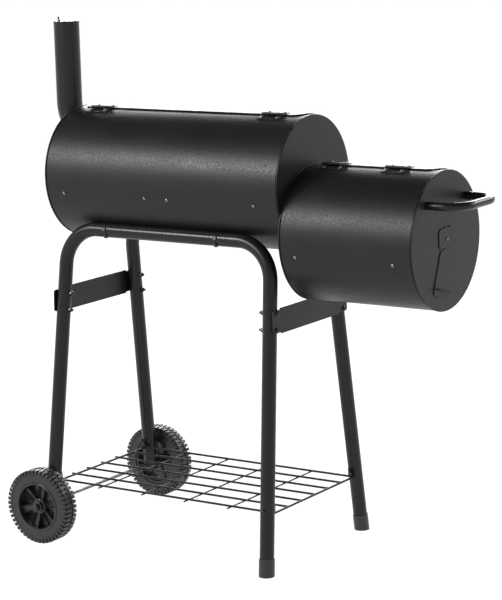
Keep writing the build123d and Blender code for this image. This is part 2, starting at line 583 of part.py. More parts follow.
FLANGE_SHEET = 2.0
FLANGE_HALF_Y = 46.0
FLANGE_HALF_Z = 54.0
FLANGE_SCREWS = ((38.0, 16.0), (-38.0, 16.0), (38.0, -16.0), (-38.0, -16.0))
FLANGE_SCREW = 10.0          # shank length
entry_z = bend_z - CHIMNEY_BEND_R * math.sin(entry_angle)
flange_plane = Plane(origin=at(0, 0, entry_z), x_dir=(0, 1, 0), z_dir=(1, 0, 0))
chimney_flange = extrude(flange_plane * Ellipse(FLANGE_HALF_Y, FLANGE_HALF_Z), FLANGE_SHEET) - entry_tool
flange_screws, flange_nuts = [], []
for y, z in FLANGE_SCREWS:
    head = Plane(origin=at(-FLANGE_SHEET - SEAT_GAP, y, entry_z + z), z_dir=(1, 0, 0))
    chimney_flange = chimney_flange - hole(head, FLANGE_SCREW)
    chimney_end_cap = chimney_end_cap - hole(head, FLANGE_SCREW)
    flange_screws.append(screw(head, FLANGE_SCREW))
    flange_nuts.append(nut(Plane(origin=at(SHEET + SEAT_GAP, y, entry_z + z), z_dir=(-1, 0, 0))))

# Chimney cap: a disc that swivels on a screw held by a lug welded inside the mouth.
CAP_DISC_R = 31.0
CAP_SCREW_OFFSET = 20.0
CAP_SCREW_Y = 3.0
LUG_WIDTH = 12.0
LUG_FOOT = 14.0
LUG_LEG = (2.0, 16.0)        # thickness and height
mouth_z = BARREL_AXIS_Z + CHIMNEY_TOP
disc_low = mouth_z + TURN_GAP
screw_along = CHIMNEY_ALONG - CAP_SCREW_OFFSET
cap_disc = Pos(at(CHIMNEY_ALONG, 0, disc_low)) * Cylinder(CAP_DISC_R, SHEET, align=BASE)
cap_hole = Pos(at(screw_along, CAP_SCREW_Y, disc_low)) * Cylinder(SCREW_R + FIT, 4 * LUG_WIDTH)
cap_disc = cap_disc - cap_hole
lug_foot = Pos(at(screw_along - 1, CAP_SCREW_Y, mouth_z - SHEET)) * Box(LUG_FOOT, LUG_WIDTH, SHEET, align=BASE)
lug_leg = Box(LUG_LEG[0], LUG_WIDTH, LUG_LEG[1], align=TOP)
lug_leg = Pos(at(screw_along - (LUG_FOOT - LUG_LEG[0]) / 2, CAP_SCREW_Y, mouth_z)) * lug_leg
mouth_space = Pos(at(CHIMNEY_ALONG, 0, mouth_z)) * Cylinder(CHIMNEY_R - CHIMNEY_WALL - FIT, 4 * LUG_LEG[1])
cap_lug = ((lug_foot + lug_leg) & mouth_space) - cap_hole
screw_seat = Plane(origin=at(screw_along, CAP_SCREW_Y, mouth_z - SHEET - SEAT_GAP), z_dir=(0, 0, -1))
pivot_screws.append(screw(screw_seat, PIVOT_SCREW, head=PIVOT_HEAD))
pivot_nuts.append(nut(Plane(origin=at(screw_along, CAP_SCREW_Y, disc_low + SHEET + TURN_GAP), z_dir=(0, 0, 1))))


# ---- stand --------------------------------------------------------------------------------------------------
def leg_point(end, side, drop):
    """A point on a leg's centreline. end is -1 at the wheels, 1 at the feet; side is 1 back, -1 front."""
    below = drop - HOOP_DROP
    along = HOOP_MID + end * (HOOP_HALF + LEG_LEAN * below)
    return at(along, side * (HOOP_Y + LEG_SPLAY * below), BARREL_AXIS_Z - drop)


def leg_plane(end, side, drop):
    """A plane square to a leg, its normal pointing down the leg."""
    down = leg_point(end, side, drop + 100) - leg_point(end, side, drop)
    return Plane(origin=leg_point(end, side, drop), z_dir=down)


def hoop(side):
    """An inverted U of tube; both ends are necked to plug into the legs."""
    inner_start = 2 * SHEET
    outer = rod([leg_point(-1, side, JOINT_DROP), leg_point(-1, side, HOOP_DROP),
                 leg_point(1, side, HOOP_DROP), leg_point(1, side, JOINT_DROP)], TUBE_R, HOOP_BEND_R)
    bore = rod([leg_point(-1, side, JOINT_DROP - inner_start), leg_point(-1, side, HOOP_DROP),
                leg_point(1, side, HOOP_DROP), leg_point(1, side, JOINT_DROP - inner_start)],
               TUBE_BORE_R, HOOP_BEND_R)
    made = outer - bore
    for end in (-1, 1):
        plane = leg_plane(end, side, JOINT_DROP - inner_start / 2)
        made = made + plane * Cylinder(SPIGOT_R, SPIGOT_LENGTH, align=BASE)
        made = made - plane * Pos(0, 0, -inner_start) * Cylinder(SPIGOT_BORE_R, 2 * SPIGOT_LENGTH, align=BASE)
    return made


def leg(end, side, low_drop):
    """A straight tube from the seam down, open at both ends."""
    top = leg_plane(end, side, JOINT_DROP + TURN_GAP)
    length = (leg_point(end, side, low_drop) - top.origin).length
    blank = top * Cylinder(TUBE_R, length, align=BASE)
    return blank - top * Cylinder(TUBE_BORE_R, 3 * length)


hoops = {side: hoop(side) for side in (1, -1)}
foot_drop = BARREL_AXIS_Z - FOOT_LEG_END
legs = {(end, side): leg(end, side, WHEEL_LEG_DROP if end < 0 else foot_drop)
        for end in (-1, 1) for side in (1, -1)}

# Braces: sheet strips across the outer sides of the legs, with narrower ends, two bolts at each leg.
BRACE_HEIGHT = 56.0
BRACE_TAB_HEIGHT = 50.0
BRACE_WEB_HALF = 121.0
BRACE_END = 153.0
BRACE_MID_DROP = 283.0
BRACE_SHEET = 2.0
BRACE_GAP = 0.15             # left between the flat strip and the round tubes
BRACE_BOLT_DROPS = (265.0, 302.0)
BRACE_CORNER_R = 6.0
FRAME_BOLT = 44.0            # one size of bolt holds the braces, the shelf and the drum
FRAME_BOLT_HEAD = (6.0, 3.6)
FRAME_NUT = (10.0, 4.5)


def brace_frame(end):
    """A plane on the outer side of the legs: x across the object, y up the legs, normal outwards."""
    low, high = leg_point(end, 1, BRACE_MID_DROP + 50), leg_point(end, 1, BRACE_MID_DROP - 50)
    up = Vector(high.X - low.X, 0, high.Z - low.Z).normalized()
    out = Vector(0, end, 0).cross(up) * end
    out = out if out.X * -end > 0 else out * -1
    middle = leg_point(end, 1, BRACE_MID_DROP)
    origin = Vector(middle.X, 0, middle.Z) + out * (TUBE_R + BRACE_GAP)
    return Plane(origin=origin, x_dir=up.cross(out), z_dir=out)


def brace(end):
    frame = brace_frame(end)
    web = Rectangle(2 * BRACE_WEB_HALF, BRACE_HEIGHT)
    tabs = RectangleRounded(2 * BRACE_END, BRACE_TAB_HEIGHT, BRACE_CORNER_R)
    return frame * extrude(web + tabs, BRACE_SHEET)


braces = {end: brace(end) for end in (-1, 1)}
frame_bolts, frame_nuts = [], []
for end in (-1, 1):
    frame = brace_frame(end)
    for side in (1, -1):
        for drop in BRACE_BOLT_DROPS:
            centre = frame.to_local_coords(leg_point(end, side, drop))
            head = frame * Plane(origin=(centre.X, centre.Y, BRACE_SHEET + SEAT_GAP), z_dir=(0, 0, 1))
            tool = hole(head, FRAME_BOLT, BOLT_R + FIT)
            braces[end] = braces[end] - tool
            hoops[side] = hoops[side] - tool
            legs[end, side] = legs[end, side] - tool
            frame_bolts.append(screw(head, FRAME_BOLT, BOLT_R, *FRAME_BOLT_HEAD))
            back = frame * Plane(origin=(centre.X, centre.Y, -2 * (TUBE_R + TURN_GAP)), z_dir=(0, 0, -1))
            frame_nuts.append(nut(back, BOLT_R, *FRAME_NUT))

# Barrel bolts: through the hoops where they touch the cooking chamber, pointing at its axis.
BARREL_BOLT_ALONG = (151.0, 450.0)
HOOP_AROUND = math.degrees(math.atan2(HOOP_DROP, HOOP_Y))
HOOP_REACH = math.hypot(HOOP_DROP, HOOP_Y)
for side, around in ((1, -HOOP_AROUND), (-1, 180 + HOOP_AROUND)):
    for along in BARREL_BOLT_ALONG:
        head = radial(along, around, HOOP_REACH + TUBE_R + TURN_GAP, BARREL_AXIS_Z)
        tool = hole(head, FRAME_BOLT, BOLT_R + FIT)
        hoops[side] = hoops[side] - tool
        main_shell = main_shell - tool
        frame_bolts.append(screw(head, FRAME_BOLT, BOLT_R, *FRAME_BOLT_HEAD))
        inner = radial(along, around, SHELL_IN_R - TURN_GAP, BARREL_AXIS_Z)
        frame_nuts.append(nut(inner * Plane(origin=(0, 0, 0), z_dir=(0, 0, -1)), BOLT_R, *FRAME_NUT))

# Plugs: domed plastic covers over the tool holes on the hoops' outer faces.
PLUG_ALONG = (149.0, 450.0)
PLUG_RISE = 15.0             # degrees above level, about the tube's own axis
PLUG_R = 5.5
PLUG_STEM_R = 4.4
PLUG_STEM = 4.0
PLUG_HEIGHT = 2.4
hoop_plugs = []
for side, rise in ((1, PLUG_RISE), (-1, 180 - PLUG_RISE)):
    for along in PLUG_ALONG:
        out = Vector(0, math.cos(math.radians(rise)), math.sin(math.radians(rise)))
        middle = at(along, side * HOOP_Y, BARREL_AXIS_Z - HOOP_DROP)
        seat = Plane(origin=middle + out * (TUBE_R + 2 * SEAT_GAP), x_dir=(1, 0, 0), z_dir=out)
        hoops[side] = hoops[side] - hole(seat, PLUG_STEM + 1, PLUG_STEM_R + FIT)
        hoop_plugs.append(screw(seat, PLUG_STEM, PLUG_STEM_R, PLUG_R, PLUG_HEIGHT))

# Foot caps: plastic cups over the foot legs' ends, cut level with the ground.
FOOT_CAP_R = 17.6
FOOT_CAP_HEIGHT = 38.0
FOOT_CAP_SPARE = 12.0        # cut off again at the ground
FOOT_CAP_SLIT = 5.0          # the socket's cut starts this far above the cup
GROUND_SIZE = 2000.0
foot_caps = []
ground = Box(GROUND_SIZE, GROUND_SIZE, GROUND_SIZE, align=TOP)
for side in (1, -1):
    top = leg_plane(1, side, BARREL_AXIS_Z - FOOT_CAP_HEIGHT)
    cup = top * Cylinder(FOOT_CAP_R, FOOT_CAP_HEIGHT + FOOT_CAP_SPARE, align=BASE) - ground
    inside = leg_plane(1, side, BARREL_AXIS_Z - FOOT_CAP_HEIGHT - FOOT_CAP_SLIT)
    depth = (leg_point(1, side, foot_drop) - inside.origin).length + 2 * SEAT_GAP
    foot_caps.append(cup - inside * Cylinder(TUBE_R + FIT, depth, align=BASE))

# Axle, through the wheel legs.
AXLE_HALF = 254.0
axle = Pos(at(WHEEL_ALONG, 0, AXLE_Z)) * Rot(90, 0, 0) * Cylinder(AXLE_R, 2 * AXLE_HALF)
axle_tool = Pos(at(WHEEL_ALONG, 0, AXLE_Z)) * Rot(90, 0, 0) * Cylinder(AXLE_R + FIT, 2 * AXLE_HALF)
for side in (1, -1):
    legs[-1, side] = legs[-1, side] - axle_tool

# Bottom shelf: welded wire, with eyes bolted to the legs.
SHELF_START = 22.0
SHELF_END = 608.0
SHELF_CROSS = (138.0, 259.0, 376.0, 492.0)
SHELF_STICKOUT = 9.0
SHELF_BOLT_RISE = 9.0        # bolts above the wires
SHELF_TAB = (16.0, 2.0, 22.0)
SHELF_TUBE_GAP = 1.4         # between a tab or bolt head and the leaning tube
SHELF_WELD = 0.6             # the cross wires sink this far into the long wires
SHELF_END_DROP = 1.0         # the end wires' axes under the long wires'
shelf_z = BARREL_AXIS_Z - SHELF_DROP
shelf_start = SHELF_START - SHELF_STICKOUT
wire_middle = at((shelf_start + SHELF_END) / 2, 0, shelf_z)
wires = [Pos(wire_middle + Vector(0, number * SHELF_HALF_Y / 3, 0)) * Rot(0, 90, 0)
         * Cylinder(SHELF_WIRE_R, SHELF_END - shelf_start) for number in range(-3, 4)]
cross_z = shelf_z - SHELF_WIRE_R - SHELF_CROSS_R + SHELF_WELD
for along in SHELF_CROSS:
    length = 2 * (SHELF_HALF_Y + SHELF_STICKOUT)
    wires.append(Pos(at(along, 0, cross_z)) * Rot(90, 0, 0) * Cylinder(SHELF_CROSS_R, length))
shelf_tools = []
for end, along in ((-1, SHELF_START), (1, SHELF_END)):
    end_middle = at(along, 0, shelf_z - SHELF_END_DROP)
    wires.append(Pos(end_middle) * Rot(90, 0, 0) * Cylinder(SHELF_WIRE_R, 2 * SHELF_HALF_Y))
    for side in (1, -1):
        centre = leg_point(end, side, SHELF_DROP - SHELF_BOLT_RISE)
        inner_y = abs(centre.Y) - TUBE_R - SHELF_TUBE_GAP
        tab_z = shelf_z + SHELF_TAB[2] / 2 - SHELF_WIRE_R
        wires.append(Pos(centre.X, side * (inner_y - SHELF_TAB[1] / 2), tab_z) * Box(*SHELF_TAB))
        outer_y = abs(centre.Y) + TUBE_R + SHELF_TUBE_GAP
        head = Plane(origin=(centre.X, side * outer_y, centre.Z), z_dir=(0, side, 0))
        tool = hole(head, FRAME_BOLT, BOLT_R + FIT)
        shelf_tools.append(tool)
        legs[end, side] = legs[end, side] - tool
        frame_bolts.append(screw(head, FRAME_BOLT, BOLT_R, *FRAME_BOLT_HEAD))
        nut_y = inner_y - SHELF_TAB[1] - 2 * SEAT_GAP
        under = Plane(origin=(centre.X, side * nut_y, centre.Z), z_dir=(0, -side, 0))
        frame_nuts.append(nut(under, BOLT_R, *FRAME_NUT))
shelf = wires[0].fuse(*wires[1:]) - shelf_tools


# ---- wheels -------------------------------------------------------------------------------------------------
HUB_R = 13.0
HUB_INWARD = 17.0            # the hub stops short of the leaning leg on the inside
RIM_WIDTH = 34.0
RIM_WALL = 7.0
SPOKES = 6
SPOKE_SECTION = (11.0, 16.0)
TYRE_ROUND = 9.0


def wheel_place(side):
    """The wheel's own frame: its axis is z, pointing outwards."""
    return Plane(origin=at(WHEEL_ALONG, side * WHEEL_MID_Y, AXLE_Z), x_dir=(1, 0, 0), z_dir=(0, side, 0))


def rim():
    """Moulded rim: a ring, a hub and six spokes set back from the outer face."""
    ring = Cylinder(RIM_R, RIM_WIDTH) - Cylinder(RIM_R - RIM_WALL, 2 * RIM_WIDTH)
    hub = Pos(0, 0, -HUB_INWARD) * Cylinder(HUB_R, HUB_INWARD + TYRE_WIDTH / 2, align=BASE)
    made = ring + hub
    for number in range(SPOKES):
        reach = RIM_R - RIM_WALL / 2
        spoke = Pos(reach / 2, 0, 0) * Box(reach, *SPOKE_SECTION)
        made = made + Rot(0, 0, number * 360 / SPOKES) * spoke
    return made - Cylinder(AXLE_R + FIT, TYRE_WIDTH * 2)


def tyre():
    blank = Cylinder(WHEEL_R, TYRE_WIDTH)
    blank = fillet(blank.edges().filter_by(GeomType.CIRCLE), TYRE_ROUND)
    return blank - Cylinder(RIM_R + FIT, 2 * TYRE_WIDTH)


AXLE_CAP_R = 9.0
AXLE_CAP_HEIGHT = 9.0
AXLE_CAP_ROUND = 4.0
AXLE_CAP_GAP = 0.5           # between the wheel and the cap
axle_caps = []
for side, name in ((1, "back"), (-1, "front")):
    place = wheel_place(side)
    parts["tyre_" + name] = place * tyre()
    parts["rim_" + name] = place * rim()
    cap_start = TYRE_WIDTH / 2 + AXLE_CAP_GAP
    cup = Cylinder(AXLE_CAP_R, AXLE_CAP_HEIGHT, align=BASE)
    cup = fillet(cup.edges().group_by(Axis.Z)[-1], AXLE_CAP_ROUND)
    cup = Pos(0, 0, cap_start) * cup - Cylinder(AXLE_R + THREAD_FIT, 2 * (AXLE_HALF - WHEEL_MID_Y + SEAT_GAP))
    axle_caps.append(place * cup)

# ---- all the nodes ------------------------------------------------------------------------------------------
parts.update({
    "main_shell": main_shell,
    "chimney_end_cap": chimney_end_cap,
    "main_inner_cap": main_inner_cap,
    "firebox_shell": firebox_shell,
    "firebox_inner_cap": firebox_inner_cap,
    "firebox_outer_cap": firebox_outer_cap,
    "grate_rails": rails["main"] + rails["firebox"],
    "rail_screws": rail_screws,
    "joining_screws": joining_screws,
    "sheet_nuts": rail_nuts + joining_nuts + flange_nuts,
    "main_lid": main_lid,
    "firebox_lid": firebox_lid,
    "hinge_body_leaves": body_leaves,
    "main_lid_hinge_leaves": lid_leaves["main"],
    "firebox_lid_hinge_leaves": lid_leaves["firebox"],
    "hinge_pins": pins,
    "hinge_body_screws": body_leaf_screws,
    "main_lid_screws": lid_screws["main"],
    "firebox_lid_screws": lid_screws["firebox"],
    "main_lid_handle": main_lid_handle,
    "firebox_lid_handle": firebox_lid_handle,
    "thermometer_case": gauge_seat * gauge_case,
    "thermometer_dial": gauge_seat * gauge_dial,
    "thermometer_needle": gauge_seat * gauge_needle,
    "thermometer_glass": gauge_seat * gauge_glass,
    "thermometer_nut": nut(gauge_nut_plane, GAUGE_STEM_R, *GAUGE_NUT),
    "cooking_grate_chimney": cooking_grate_chimney,
    "cooking_grate_firebox": cooking_grate_firebox,
    "main_coal_grate": main_coal_grate,
    "firebox_grate": firebox_grate,
    "firebox_coal_grate": firebox_coal_grate,
    "end_handle": end_handle,
    "handle_screws": handle_screws,
    "air_damper": air_damper,
    "pivot_screws": pivot_screws,
    "pivot_nuts": pivot_nuts,
    "chimney_pipe": chimney_pipe,
    "chimney_flange": chimney_flange,
    "flange_screws": flange_screws,
    "chimney_cap": cap_disc,
    "chimney_cap_lug": cap_lug,
    "hoop_back": hoops[1],
    "hoop_front": hoops[-1],
    "wheel_leg_back": legs[-1, 1],
    "wheel_leg_front": legs[-1, -1],
    "foot_leg_back": legs[1, 1],
    "foot_leg_front": legs[1, -1],
    "chimney_side_brace": braces[-1],
    "firebox_side_brace": braces[1],
    "frame_bolts": frame_bolts,
    "frame_nuts": frame_nuts,
    "hoop_plugs": hoop_plugs,
    "foot_caps": foot_caps,
    "axle": axle,
    "axle_caps": axle_caps,
    "bottom_shelf": shelf,
})

os.makedirs("parts", exist_ok=True)
for name, shape in parts.items():
    if isinstance(shape, list):
        shape = Compound(children=shape)
    export_step(shape, "parts/" + name + ".step")
print(len(parts), "nodes")
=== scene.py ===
# %% [markdown]
# # An offset smoker
# The smoker is two rolled steel drums on a tube stand, coated with satin black powder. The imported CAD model
# is loaded first and never changed. It gives every piece its place, so each later step asks the frame where
# something is instead of guessing.

# %% Load the frame
import bpy
import json
import math
import numpy
from mathutils import Matrix, Quaternion, Vector

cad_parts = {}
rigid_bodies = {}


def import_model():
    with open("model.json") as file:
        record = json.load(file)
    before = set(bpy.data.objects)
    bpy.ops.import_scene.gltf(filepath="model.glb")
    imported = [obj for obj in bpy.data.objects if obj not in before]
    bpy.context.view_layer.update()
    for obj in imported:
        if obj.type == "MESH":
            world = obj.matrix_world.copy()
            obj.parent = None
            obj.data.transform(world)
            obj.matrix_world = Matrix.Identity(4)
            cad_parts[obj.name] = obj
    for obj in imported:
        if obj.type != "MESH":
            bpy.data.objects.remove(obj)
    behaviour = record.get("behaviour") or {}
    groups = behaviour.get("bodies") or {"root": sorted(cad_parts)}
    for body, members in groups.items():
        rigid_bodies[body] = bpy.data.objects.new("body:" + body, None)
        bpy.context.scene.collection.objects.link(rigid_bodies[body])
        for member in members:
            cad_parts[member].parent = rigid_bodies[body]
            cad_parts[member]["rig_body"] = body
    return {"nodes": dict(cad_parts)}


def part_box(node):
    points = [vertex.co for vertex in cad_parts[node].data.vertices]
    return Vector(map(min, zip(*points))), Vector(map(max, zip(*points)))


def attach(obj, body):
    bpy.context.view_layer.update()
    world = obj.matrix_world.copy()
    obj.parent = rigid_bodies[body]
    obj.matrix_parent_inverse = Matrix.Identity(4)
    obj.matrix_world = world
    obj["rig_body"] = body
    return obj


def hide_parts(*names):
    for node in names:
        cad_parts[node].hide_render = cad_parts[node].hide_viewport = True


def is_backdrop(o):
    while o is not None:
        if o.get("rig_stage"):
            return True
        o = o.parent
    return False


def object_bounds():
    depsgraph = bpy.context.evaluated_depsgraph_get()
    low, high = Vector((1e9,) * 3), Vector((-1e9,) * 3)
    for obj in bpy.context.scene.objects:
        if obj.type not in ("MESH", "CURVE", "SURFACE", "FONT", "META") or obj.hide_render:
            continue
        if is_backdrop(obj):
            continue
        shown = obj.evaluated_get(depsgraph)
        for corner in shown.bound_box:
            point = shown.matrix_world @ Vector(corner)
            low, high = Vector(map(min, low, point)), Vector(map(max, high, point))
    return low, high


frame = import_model()
cad_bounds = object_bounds()
MM = 0.001

# %% [markdown]
# Colours are written as people know them, in sRGB hex. Blender's sockets want linear light, so one function
# turns them. A second one adds a shader node with its settings and its links in a single call, which keeps a
# material readable as a list of what feeds what.


# %% Colour and node helpers
MIX_A, MIX_B, MIX_RESULT = 6, 7, 2        # a Mix node's sockets for colours
NOISE_LOW, NOISE_HIGH = 0.3, 0.7          # nearly all of a noise pattern lies between these


def linear(hex_colour):
    """An sRGB hex colour as linear RGBA."""
    channels = [int(hex_colour[i:i + 2], 16) / 255 for i in (0, 2, 4)]
    return [c / 12.92 if c <= 0.04045 else ((c + 0.055) / 1.055) ** 2.4 for c in channels] + [1.0]


def add(tree, kind, links=None, **settings):
    """Adds one node. links gives its inputs sockets or values; settings are its own properties."""
    node = tree.nodes.new("ShaderNode" + kind)
    for name, value in settings.items():
        setattr(node, name, value)
    for name, value in (links or {}).items():
        socket = node.inputs[name]
        if isinstance(value, bpy.types.NodeSocket):
            tree.links.new(value, socket)
        else:
            socket.default_value = value
    return node


def new_material(name):
    """An empty material with its shader and output; the caller feeds the shader."""
    material = bpy.data.materials.new(name)
    material.use_nodes = True
    tree = material.node_tree
    tree.nodes.clear()
    shader = add(tree, "BsdfPrincipled")
    add(tree, "OutputMaterial", {"Surface": shader.outputs[0]})
    where = add(tree, "TexCoord").outputs["Object"]
    return material, tree, shader, where


def per_metre(size_mm):
    """The noise scale whose blobs are about this many millimetres across."""
    return 1 / (size_mm * MM)


def noise(tree, where, size_mm, detail):
    """A soft 0 to 1 pattern of blobs about this many millimetres across."""
    return add(tree, "TexNoise", {"Vector": where, "Scale": per_metre(size_mm), "Detail": detail}).outputs[0]


def mix_colours(tree, amount, first, second):
    """A blend of two sRGB hex colours by a 0 to 1 socket."""
    node = add(tree, "Mix", {"Factor": amount}, data_type="RGBA")
    node.inputs[MIX_A].default_value = linear(first)
    node.inputs[MIX_B].default_value = linear(second)
    return node.outputs[MIX_RESULT]


def spread(tree, value, low, high, new_low, new_high):
    """Stretches part of a 0 to 1 pattern over a new range, and cuts off the rest."""
    return add(tree, "MapRange", {"Value": value, "From Min": low, "From Max": high,
                                  "To Min": new_low, "To Max": new_high}).outputs[0]


def bump(tree, height, strength, depth_mm, before=None):
    """A bump of this depth, laid over an earlier one if there is one."""
    links = {"Height": height, "Strength": strength, "Distance": depth_mm * MM}
    if before is not None:
        links["Normal"] = before
    return add(tree, "Bump", links).outputs[0]


# %% [markdown]
# **Powder coat.** Powder sprayed on steel melts in an oven into a tough skin with a faint orange peel: bumps
# a millimetre or two wide. The skin is black, but it never looks quite even. Dust and small changes in
# thickness make the sheen wander, and fine specks catch the light. The peel is a bump, the specks are a
# second, finer bump, and the wandering sheen is roughness: a slow cloud plus a fine grain.


# %% Powder coat
CLOUD_MM = 140
SPECK_MM = 1.3
# The real grain is under a millimetre; it is drawn a few times coarser, so that it shows from a distance.
GRAIN_MM = 3.6
SHEEN_WANDER = 0.03
PATCH_LOW, PATCH_HIGH = 0.35, 0.65
PEEL_DEPTH_MM = 0.1
SPECK_DEPTH_MM = 0.05


def powder_coat(name, dark, light, sheen, gloss=0.28, peel_mm=2.2, peel=0.5, grit=0.6, grain_depth=0.075):
    material, tree, shader, where = new_material(name)
    cloud = noise(tree, where, CLOUD_MM, 4.0)
    orange = noise(tree, where, peel_mm, 2.0)
    specks = noise(tree, where, SPECK_MM, 1.0)
    grain = noise(tree, where, GRAIN_MM, 2.0)
    shader.inputs["Specular IOR Level"].default_value = gloss
    patches = spread(tree, cloud, PATCH_LOW, PATCH_HIGH, 0, 1)
    tree.links.new(mix_colours(tree, patches, dark, light), shader.inputs["Base Color"])
    wander = spread(tree, cloud, NOISE_LOW, NOISE_HIGH, sheen - SHEEN_WANDER, sheen + SHEEN_WANDER)
    fine = spread(tree, grain, NOISE_LOW, NOISE_HIGH, -grain_depth, grain_depth)
    roughness = add(tree, "Math", {0: wander, 1: fine}, operation="ADD").outputs[0]
    tree.links.new(roughness, shader.inputs["Roughness"])
    peel_bump = bump(tree, orange, peel, PEEL_DEPTH_MM)
    tree.links.new(bump(tree, specks, grit, SPECK_DEPTH_MM, peel_bump), shader.inputs["Normal"])
    return material


drum_coat = powder_coat("satin_black_powder_coat", "131314", "171718", 0.42)
tube_coat = powder_coat("gloss_black_powder_coat", "121213", "161617", 0.27,
                        peel=0.15, grit=0.1, grain_depth=0.03)
wire_coat = powder_coat("dipped_black_wire_coat", "0e0e0f", "121213", 0.40,
                        gloss=0.14, peel=0.05, grit=0.05, grain_depth=0.0)
print("powder coats:", drum_coat.name, tube_coat.name, wire_coat.name)

# %% [markdown]
# ** Plated steel.** Nuts, rails and hinge pins are dipped in zinc: a grey metal with a soft, slightly cloudy
# shine. The screws are dipped in black zinc, which is darker and smoother, and the grate wire is bright.
# On the rail, hinge, lid, pivot and flange screws the black zinc is drawn lighter: a painted highlight that
# stands in for the glints on their heads. All of them are metals, so the colour is the reflection's colour.


# %% Metals
def plated(name, dark, light, roughness, cloud_mm):
    material, tree, shader, where = new_material(name)
    shader.inputs["Metallic"].default_value = 1.0
    cloud = noise(tree, where, cloud_mm, 3.0)
    grain = noise(tree, where, 0.6, 2.0)
    tree.links.new(mix_colours(tree, cloud, dark, light), shader.inputs["Base Color"])
    tree.links.new(spread(tree, cloud, NOISE_LOW, NOISE_HIGH, roughness - 0.06, roughness + 0.08),
                   shader.inputs["Roughness"])
    tree.links.new(bump(tree, grain, 0.08, 0.03), shader.inputs["Normal"])
    return material


zinc = plated("bright_zinc_plate", "9b9b9d", "c4c4c6", 0.30, 5)
wire_plate = plated("plated_grate_wire", "8f8f92", "b5b5b8", 0.34, 30)
axle_steel = plated("drawn_axle_steel", "5a5a5c", "747476", 0.36, 12)
case_steel = plated("spun_case_steel", "a9a9ab", "c9c9cb", 0.24, 8)
black_zinc = plated("black_zinc_plate", "38383c", "4a4a4e", 0.14, 4)
# The lighter colour here is a painted highlight: it stands in for the glints on these screws' black zinc
# heads.
painted_glint_black_zinc = plated("painted_glint_black_zinc_plate", "727278", "94949a", 0.16, 3)
print("metals:", zinc.name, wire_plate.name, axle_steel.name, case_steel.name, black_zinc.name)

# %% [markdown]
# **Moulded plastic.** Tyres, rims and caps are moulded black polyethylene. The mould leaves a very fine
# grain. The tyres are as dull as the coated steel, and the rims are shinier. The dial's enamel, its ink and
# the needle's paint are made the same way, in other colours.


# %% Plastics
def moulded_plastic(name, dark, light, roughness, grain_mm=0.8):
    material, tree, shader, where = new_material(name)
    cloud = noise(tree, where, 25, 3.0)
    grain = noise(tree, where, grain_mm, 2.0)
    tree.links.new(mix_colours(tree, cloud, dark, light), shader.inputs["Base Color"])
    tree.links.new(spread(tree, cloud, NOISE_LOW, NOISE_HIGH, roughness - 0.05, roughness + 0.05),
                   shader.inputs["Roughness"])
    tree.links.new(bump(tree, grain, 0.15, 0.08), shader.inputs["Normal"])
    return material


tyre_plastic = moulded_plastic("moulded_tyre_plastic", "18181a", "1f1f21", 0.42)
rim_plastic = moulded_plastic("moulded_rim_plastic", "1d1d1f", "252527", 0.24)
cap_plastic = moulded_plastic("moulded_cap_plastic", "161617", "1c1c1e", 0.36)
dial_enamel = moulded_plastic("printed_dial_enamel", "dededa", "e6e6e2", 0.45, 0.5)
needle_paint = moulded_plastic("red_needle_paint", "a01d16", "b3241c", 0.40, 0.5)
glass, _, glass_shader, _ = new_material("clear_gauge_glass")
glass_shader.inputs["Base Color"].default_value = linear("f2f6f6")
glass_shader.inputs["Roughness"].default_value = 0.03
glass_shader.inputs["Transmission Weight"].default_value = 1.0
print("plastics and glass ready")

# %% [markdown]
# The CAD pieces keep their meshes and only get better materials. The list below says which finish each
# wears; everything not named is coated steel.

# %% Dress the CAD pieces
DARK_SCREWS = ("frame_bolts", "joining_screws", "handle_screws")
# These screws wear the lightened black zinc, whose colour is a painted highlight for their glints.
PAINTED_GLINT_SCREWS = ("rail_screws", "hinge_body_screws", "main_lid_screws", "firebox_lid_screws", "pivot_screws",
               "flange_screws")
FINISHES = (
    (zinc, ("sheet_nuts", "pivot_nuts", "thermometer_nut", "grate_rails", "hinge_pins")),
    (black_zinc, DARK_SCREWS + ("frame_nuts",)),
    (painted_glint_black_zinc, PAINTED_GLINT_SCREWS),
    (tube_coat, ("hoop_back", "hoop_front", "wheel_leg_back", "wheel_leg_front", "foot_leg_back",
                 "foot_leg_front", "end_handle", "main_lid_handle", "firebox_lid_handle", "chimney_pipe")),
    (wire_coat, ("bottom_shelf",)),
    (wire_plate, ("cooking_grate_chimney", "cooking_grate_firebox", "main_coal_grate", "firebox_grate",
                  "firebox_coal_grate")),
    (axle_steel, ("axle",)),
    (case_steel, ("thermometer_case",)),
    (dial_enamel, ("thermometer_dial",)),
    (needle_paint, ("thermometer_needle",)),
    (glass, ("thermometer_glass",)),
    (tyre_plastic, ("tyre_back", "tyre_front")),
    (rim_plastic, ("rim_back", "rim_front")),
    (cap_plastic, ("foot_caps", "axle_caps", "hoop_plugs")),
)
finish_of = {node: material for material, nodes in FINISHES for node in nodes}
for name, piece in frame["nodes"].items():
    piece.data.materials.clear()
    piece.data.materials.append(finish_of.get(name, drum_coat))
print("dressed", len(frame["nodes"]), "CAD pieces")

# %% [markdown]
# **Wheels.** Each is a hard plastic tyre pushed on a moulded rim. The tyre has two rows of lugs that lap
# over the shoulders, half a step apart, with a thin rib between them. The rim is a tray: a ring, a web
# across it, a hub with a collar, and six channel spokes. One wheel is modelled at the origin with its axis
# up, then a copy is stood on each end of the axle.

# %% Helpers for modelling by hand
RING_SMOOTH = 30              # edges that turn by less than this many degrees are shaded smooth
SCREW_SMOOTH = 32
BLOCK_SMOOTH = 35


def deselect():
    if bpy.context.object and bpy.context.object.mode == "EDIT":
        bpy.ops.object.mode_set(mode="OBJECT")
    bpy.ops.object.select_all(action="DESELECT")


